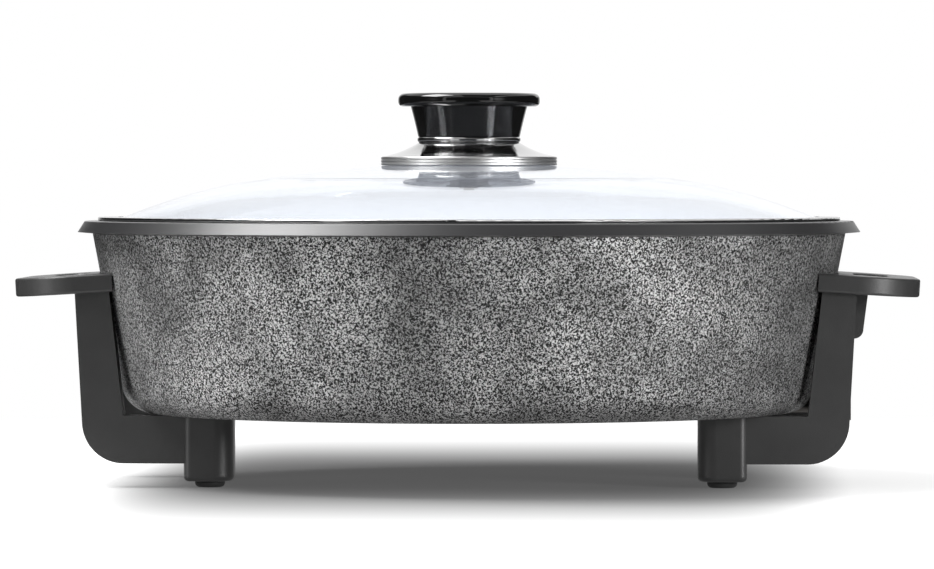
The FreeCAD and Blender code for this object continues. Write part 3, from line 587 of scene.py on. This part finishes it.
class SkilletStage(bpy.types.PropertyGroup):
    distance: FloatProperty(
        name="Distance", description="Camera's distance from the axis", unit="LENGTH", default=3.0)
    azimuth: FloatProperty(
        name="Azimuth", description="Camera's turn towards +X, in degrees", default=2.0)
    height: FloatProperty(
        name="Height", description="Camera's height above the floor", unit="LENGTH", default=0.1516)
    pitch: FloatProperty(
        name="Pitch", description="Camera's downward pitch, in degrees", default=1.054)
    offset: FloatProperty(
        name="Offset", description="How far left of the axis the camera aims", unit="LENGTH",
        default=0.001)
    lens: FloatProperty(name="Lens", description="Focal length in millimetres", default=237.7)
    shadow_width: FloatProperty(
        name="Shadow width", description="Half width of the soft shadow on the floor",
        unit="LENGTH", default=0.162)
    shadow_depth: FloatProperty(
        name="Shadow depth", description="Half depth of the soft shadow on the floor",
        unit="LENGTH", default=0.33)
    shadow_shift: FloatProperty(
        name="Shadow shift", description="How far behind the axis that shadow lies",
        unit="LENGTH", default=0.055)
    shadow_reach: FloatProperty(
        name="Shadow reach", description="Radius past which the floor fades to white",
        unit="LENGTH", default=0.55)
    shadow_inner: FloatProperty(
        name="Shadow inner", description="Share of its half size where the shadow starts to fade",
        default=0.29)
    shadow_outer: FloatProperty(
        name="Shadow outer", description="Share of its half size where the shadow ends",
        default=1.83)
    floor_half: FloatProperty(
        name="Floor half", description="Half the floor's width", unit="LENGTH", default=12.0)
    floor_dark: FloatProperty(
        name="Floor dark", description="Grey of the floor in the shadow", default=0.08)
    floor_light: FloatProperty(
        name="Floor light", description="Grey of the floor outside the shadow", default=0.55)
    glow_dark: FloatProperty(
        name="Glow dark", description="Glow that the camera sees in the shadow", default=0.09)
    glow_light: FloatProperty(
        name="Glow light", description="Glow that the camera sees outside it", default=0.68)
    glow_unseen: FloatProperty(
        name="Glow unseen", description="Glow that lights the part from below", default=0.22)
    fill: FloatProperty(
        name="Fill", description="Strength of the scattered light", default=0.26)


class SKILLET_OT_pan(bpy.types.Operator):
    """Give the pan its speckled enamel and smooth coating"""
    bl_idname = "skillet.pan"
    bl_label = "Pan"

    def execute(self, context):
        dress(speckled_enamel(context.scene.skillet_pan), "pan_bowl")
        return {"FINISHED"}


class SKILLET_OT_heating(bpy.types.Operator):
    """Give the heating element, its straps, pins, tube and block their finishes"""
    bl_idname = "skillet.heating"
    bl_label = "Heating"

    def execute(self, context):
        dress(plain("element_sheath"), "heating_element")
        dress(plain("brass"), "bus_strap_front", "bus_strap_rear", "earth_blade", "knob_insert")
        dress(plain("plated_pin"), "contact_pin_front", "contact_pin_rear", "sensor_tube")
        dress(plain("glazed_block"), "terminal_block")
        return {"FINISHED"}


class SKILLET_OT_mouldings(bpy.types.Operator):
    """Give handles, legs, inlet housing and spacer their black moulding, and the feet rubber"""
    bl_idname = "skillet.mouldings"
    bl_label = "Mouldings and feet"

    def execute(self, context):
        legs = ["leg_" + corner for corner in corners]
        feet = ["foot_" + corner for corner in corners]
        dress(black_moulding(), "handle_left", "handle_right", "inlet_housing", "knob_spacer",
              *legs)
        dress(plain("foot_rubber"), *feet)
        return {"FINISHED"}


class SKILLET_OT_lid(bpy.types.Operator):
    """Give the lid its glass, steel band, washer and gaskets"""
    bl_idname = "skillet.lid"
    bl_label = "Lid"

    def execute(self, context):
        dress(clear_glass(context.scene.skillet_lid), "lid_glass")
        dress(polished_steel(), "lid_band")
        dress(plain("zinc_washer"), "lid_washer")
        dress(plain("silicone"), "lid_gasket_upper", "lid_gasket_lower")
        return {"FINISHED"}


class SKILLET_OT_knob(bpy.types.Operator):
    """Turn the knob's grip, ring and skirt with their rounded edges"""
    bl_idname = "skillet.knob"
    bl_label = "Knob"

    def execute(self, context):
        sizes = context.scene.skillet_lid
        way = sizes.screw_way
        steel = polished_steel(skirt_low[2] + sizes.skirt_band)

        base, top = grip_low[2], grip_high[2]
        flange = grip_high[0]
        neck = ring_high[0] - sizes.neck_inset
        under = base + sizes.flange_lift
        insert_low, insert_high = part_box("knob_insert")
        side_steps = 12
        side = []
        for step in range(side_steps + 1):
            share = step / side_steps
            curve = 4 * share * (1 - share) * sizes.knob_waist
            side.append((neck + (sizes.knob_flare - neck) * share - curve,
                         base + (under - base) * share))
        edge = [side[-1], (flange, under), (flange, top - sizes.top_fall), (0.0, top)]
        profile = rounded_profile(edge, {1: sizes.knob_edge, 2: sizes.knob_edge * 1.2})
        hole = [(0.0, insert_high[2]), (insert_high[0], insert_high[2]), (insert_high[0], base)]
        grip = lathe("grip", "lid", gloss_black(), hole + side[:-1] + [tuple(v) for v in profile])
        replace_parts(grip, "knob_grip")

        ring = ring_high[0]
        edge = [(way, ring_low[2]), (ring - 0.0002, ring_low[2]), (ring, ring_high[2]),
                (way, ring_high[2])]
        edge = rounded_profile(edge, {1: sizes.ring_edge, 2: sizes.ring_edge + 0.0001})
        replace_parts(lathe("ring", "lid", steel, [tuple(v) for v in edge]), "knob_ring")

        low, high = skirt_low[2], skirt_high[2]
        outer = skirt_high[0]
        brim = outer - sizes.skirt_seat
        inner = ring - sizes.skirt_seat
        band = low + sizes.skirt_band
        wall = sizes.skirt_wall
        bevel = 0.0003
        cone_steps = 15
        cone_foot = band + 0.0002
        cone = []
        for step in range(1, cone_steps + 1):
            share = step / cone_steps
            sag = 4 * share * (1 - share) * sizes.skirt_hollow
            cone.append((brim + (inner - brim) * share - sag * 0.4,
                         cone_foot + (high - cone_foot) * share - sag))
        front = [(outer - wall, low), (outer - bevel, low), (outer, low + bevel)]
        for middle in (0.0013, 0.0028):
            front += [(outer, low + middle - bevel), (outer - sizes.skirt_groove, low + middle),
                      (outer, low + middle + bevel)]
        front += [(outer, band - 0.0005), (outer - bevel, band)]
        back = [(x - wall * 0.6, z - wall) for x, z in reversed(cone[1:])]
        profile = front + cone + [(way, high), (way, high - wall)] + back
        skirt = lathe("skirt", "lid", steel, profile + [(outer - wall, band - wall)])
        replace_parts(skirt, "knob_skirt")
        return {"FINISHED"}


class SKILLET_OT_screws(bpy.types.Operator):
    """Make the cross-recess screws of legs, handles, inlet and knob"""
    bl_idname = "skillet.screws"
    bl_label = "Screws"

    def execute(self, context):
        sizes = context.scene.skillet_screws
        tree = screw_tree(plain("zinc_plate"))
        upright = (0.0, 0.0, 1.0)

        low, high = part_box("leg_screws")
        seat = low[2] + sizes.head_height
        places = []
        for corner in corners:
            first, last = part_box("foot_" + corner)
            places.append(((first[0] + last[0]) / 2, (first[1] + last[1]) / 2, seat))
        screws("leg_screw_set", "skillet", "leg_screws", tree, places, [upright] * 4,
               Shank_Length=high[2] - seat)

        tilt = math.radians(sizes.tilt)
        low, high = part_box("handle_screws")
        seat = low[2] + sizes.head_height + sizes.tilt_lift
        x = high[0] - sizes.head_radius + sizes.handle_shift
        y = high[1] - sizes.head_radius
        places, axes = [], []
        for side in (-1, 1):
            for end in (-1, 1):
                places.append((side * x, end * y, seat))
                axes.append((side * math.sin(tilt), 0.0, math.cos(tilt)))
        screws("handle_screw_set", "skillet", "handle_screws", tree, places, axes,
               Shank_Length=sizes.handle_shank)

        low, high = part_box("inlet_screws")
        seat = low[2] + sizes.head_height + sizes.tilt_lift
        x = low[0] + sizes.head_radius + sizes.inlet_shift
        y = high[1] - sizes.head_radius
        places = [(x, end * y, seat) for end in (-1, 1)]
        screws("inlet_screw_set", "skillet", "inlet_screws", tree, places,
               [(math.sin(tilt), 0.0, math.cos(tilt))] * 2, Shank_Length=sizes.inlet_shank)

        low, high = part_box("knob_screw")
        seat = low[2] + sizes.knob_head
        screws("knob_screw_turned", "lid", "knob_screw", tree, [(0.0, 0.0, seat)], [upright],
               Head_Radius=high[0], Head_Height=sizes.knob_head, Shank_Radius=sizes.knob_shank,
               Shank_Length=high[2] - seat, Thread_Pitch=sizes.knob_pitch)
        return {"FINISHED"}


# Lamps: name, place, height that they aim at, size in metres and power in watts
lamps = (
    ("softbox_left", (-1.2, -0.25, 1.75), 0.1, 1.2, 60.0),
    ("softbox_right", (1.7, -0.9, 1.3), 0.1, 0.8, 5.0),
    ("softbox_top", (0.0, 0.2, 2.2), 0.0, 1.8, 8.0),
    ("front_left", (-2.0, -1.2, 0.45), 0.1, 0.6, 12.0),
    ("front_right", (1.8, -1.5, 0.45), 0.1, 0.6, 42.0),
)
# Cards behind the part: start and end along x, bottom and top
cards_behind = ((-1.6, -0.3, 0.0, 1.3), (0.3, 1.6, 0.0, 0.5), (0.95, 2.8, 0.8, 2.2))


def area_light(name, place, aim, size, power):
    """A soft square lamp that faces a point on the part's axis."""
    data = bpy.data.lights.new(name, "AREA")
    data.shape = "SQUARE"
    data.size = size
    data.energy = power
    lamp = bpy.data.objects.new(name, data)
    bpy.context.scene.collection.objects.link(lamp)
    lamp.location = place
    way = Vector((0, 0, aim)) - Vector(place)
    lamp.rotation_euler = way.to_track_quat("-Z", "Y").to_euler()


def standing(first, last, low, high):
    """The corners of an upright rectangle over the line from first to last."""
    return [(*first, low), (*last, low), (*last, high), (*first, high)]


def lying(height, *points):
    """The corners of a level card through points (x, y)."""
    return [(x, y, height) for x, y in points]


def card(name, corners_at, material):
    """A flat stage piece between four corners."""
    mesh = bpy.data.meshes.new(name)
    mesh.from_pydata(corners_at, [], [(0, 1, 2, 3)])
    mesh.materials.append(material)
    thing = bpy.data.objects.new(name, mesh)
    bpy.context.scene.collection.objects.link(thing)
    return thing


def hidden_card(name, corners_at, material, dims=False):
    """A card that only reflections see; one that dims also keeps scattered light away."""
    thing = card(name, corners_at, material)
    thing.visible_camera = False
    thing.visible_shadow = False
    thing.visible_transmission = False
    thing.visible_diffuse = dims


def floor_finish(setup):
    """White floor that fades to pure white, with a soft painted shadow under the part."""
    white = Finish("floor_white", Roughness=0.9, Specular_IOR_Level=0.0, Emission_Strength=1.0)
    across = white.x * (1 / setup.shadow_width)
    boxed = across * across * across * across
    along = (white.y - setup.shadow_shift) * (1 / setup.shadow_depth)
    spread = white.x.maths("SQRT", boxed * boxed + along * along)
    lit = spread.smooth(setup.shadow_inner, setup.shadow_outer)
    white.feed("Base Color", lit.blend(grey(setup.floor_dark), grey(setup.floor_light)))
    seen = Field(white.tree, white.tree.nodes.new("ShaderNodeLightPath").outputs[0])
    glow = lit.blend(grey(setup.glow_dark), grey(setup.glow_light))
    white.feed("Emission Color", seen.blend(grey(setup.glow_unseen), glow))
    beyond = white.radius().smooth(setup.shadow_reach, setup.shadow_reach * 1.5)
    pure = white.tree.nodes.new("ShaderNodeEmission")
    mixer = white.tree.nodes.new("ShaderNodeMixShader")
    white.tree.links.new(beyond.socket, mixer.inputs[0])
    white.tree.links.new(white.shader.outputs[0], mixer.inputs[1])
    white.tree.links.new(pure.outputs[0], mixer.inputs[2])
    white.tree.links.new(mixer.outputs[0], white.output.inputs["Surface"])
    return white.material


def reflected_cards():
    """Dark cards that shape the reflections and keep light off the pan's ends."""
    dark = Finish("dark_card", Base_Color=grey(0.02), Roughness=1.0, Specular_IOR_Level=0.0)
    hidden_card("card_behind_camera", standing((-2.6, -3.6), (2.6, -3.6), 0.0, 2.2), dark.material)
    hidden_card("card_in_front", lying(0.01, (-1.2, -3.5), (1.2, -3.5), (0.12, -0.28),
                                       (-0.12, -0.28)), dark.material)
    hidden_card("card_overhead", lying(2.8, (-0.4, -3.6), (3.0, -3.6), (3.0, -0.2),
                                       (-0.4, -0.2)), dark.material)
    back = 1.6
    for side in (-1, 1):
        near, far = 0.24 * side, 0.95 * side
        hidden_card("card_beside", standing((far, -1.1), (far, back), 0.0, 0.9), dark.material,
                    dims=True)
        hidden_card("card_at_feet", lying(0.012, (near, -0.04), (far, -0.04), (far, back),
                                          (near, back)), dark.material)
    soft = Finish("soft_card", Base_Color=grey(0.02), Roughness=1.0, Specular_IOR_Level=0.0)
    sideways = soft.x.maths("ABSOLUTE", soft.x)
    soft.feed("Alpha", sideways.smooth(0.3, 1.0) * (1 - soft.z.smooth(0.5, 2.2)))
    behind = 1.8
    for start, end, low, high in cards_behind:
        hidden_card("card_behind", standing((start, behind), (end, behind), low, high),
                    soft.material)


def studio_world(fill):
    """White surroundings for the camera, reflections and glass, and grey ones for the fill."""
    world = bpy.data.worlds.new("studio")
    world.use_nodes = True
    tree = world.node_tree
    tree.nodes.clear()
    sky = tree.nodes.new("ShaderNodeBackground")
    output = tree.nodes.new("ShaderNodeOutputWorld")
    path = tree.nodes.new("ShaderNodeLightPath")
    shown = Field(tree, path.outputs["Is Camera Ray"])
    for name in ("Is Glossy Ray", "Is Transmission Ray"):
        shown = shown.maths("MAXIMUM", shown, Field(tree, path.outputs[name]))
    strength = shown.blend(grey(fill), grey(1.0))
    tree.links.new(strength.socket, sky.inputs["Color"])
    tree.links.new(sky.outputs[0], output.inputs[0])
    return world


def front_camera(setup):
    """The camera that took the photo's view."""
    turn = math.radians(setup.azimuth)
    place = Vector((math.sin(turn) * setup.distance, -math.cos(turn) * setup.distance,
                    setup.height))
    drop = setup.distance * math.tan(math.radians(setup.pitch))
    left = Vector((-math.cos(turn), -math.sin(turn), 0)) * setup.offset
    target = Vector((0, 0, setup.height - drop)) + left
    data = bpy.data.cameras.new("camera")
    data.lens = setup.lens
    data.sensor_width = 36.0
    data.clip_end = 100.0
    camera = bpy.data.objects.new("camera", data)
    camera.location = place
    camera.rotation_euler = (target - place).to_track_quat("-Z", "Y").to_euler()
    return camera


class SKILLET_OT_stage(bpy.types.Operator):
    """Make the floor, the white surroundings, the lamps and the camera"""
    bl_idname = "skillet.stage"
    bl_label = "Stage"

    def execute(self, context):
        scene = context.scene
        setup = scene.skillet_stage
        half = setup.floor_half
        card("floor", lying(0, (-half, -half), (half, -half), (half, half), (-half, half)),
             floor_finish(setup))
        reflected_cards()
        scene.world = studio_world(setup.fill)
        for lamp in lamps:
            area_light(*lamp)
        camera = front_camera(setup)
        scene.collection.objects.link(camera)
        scene.camera = camera
        scene.view_settings.view_transform = "Standard"
        return {"FINISHED"}


class SKILLET_PT_panel(bpy.types.Panel):
    """The skillet's sizes, colours and steps"""
    bl_idname = "SKILLET_PT_panel"
    bl_label = "Electric skillet"
    bl_space_type = "VIEW_3D"
    bl_region_type = "UI"
    bl_category = "Skillet"

    def draw(self, context):
        layout = self.layout
        scene = context.scene
        for group in (scene.skillet_pan, scene.skillet_lid, scene.skillet_screws,
                      scene.skillet_stage):
            for name in group.__annotations__:
                layout.prop(group, name)
        for step in steps:
            layout.operator(step.bl_idname)


steps = (SKILLET_OT_pan, SKILLET_OT_heating, SKILLET_OT_mouldings, SKILLET_OT_lid,
         SKILLET_OT_knob, SKILLET_OT_screws, SKILLET_OT_stage)
classes = (SkilletPan, SkilletLid, SkilletScrews, SkilletStage) + steps + (SKILLET_PT_panel,)


def register():
    for kind in classes:
        bpy.utils.register_class(kind)
    bpy.types.Scene.skillet_pan = PointerProperty(type=SkilletPan)
    bpy.types.Scene.skillet_lid = PointerProperty(type=SkilletLid)
    bpy.types.Scene.skillet_screws = PointerProperty(type=SkilletScrews)
    bpy.types.Scene.skillet_stage = PointerProperty(type=SkilletStage)


def unregister():
    del bpy.types.Scene.skillet_pan
    del bpy.types.Scene.skillet_lid
    del bpy.types.Scene.skillet_screws
    del bpy.types.Scene.skillet_stage
    for kind in reversed(classes):
        bpy.utils.unregister_class(kind)


def main():
    register()
    bpy.ops.skillet.pan()
    bpy.ops.skillet.heating()
    bpy.ops.skillet.mouldings()
    bpy.ops.skillet.lid()
    bpy.ops.skillet.knob()
    bpy.ops.skillet.screws()
    bpy.ops.skillet.stage()


if __name__ == "__main__":
    main()
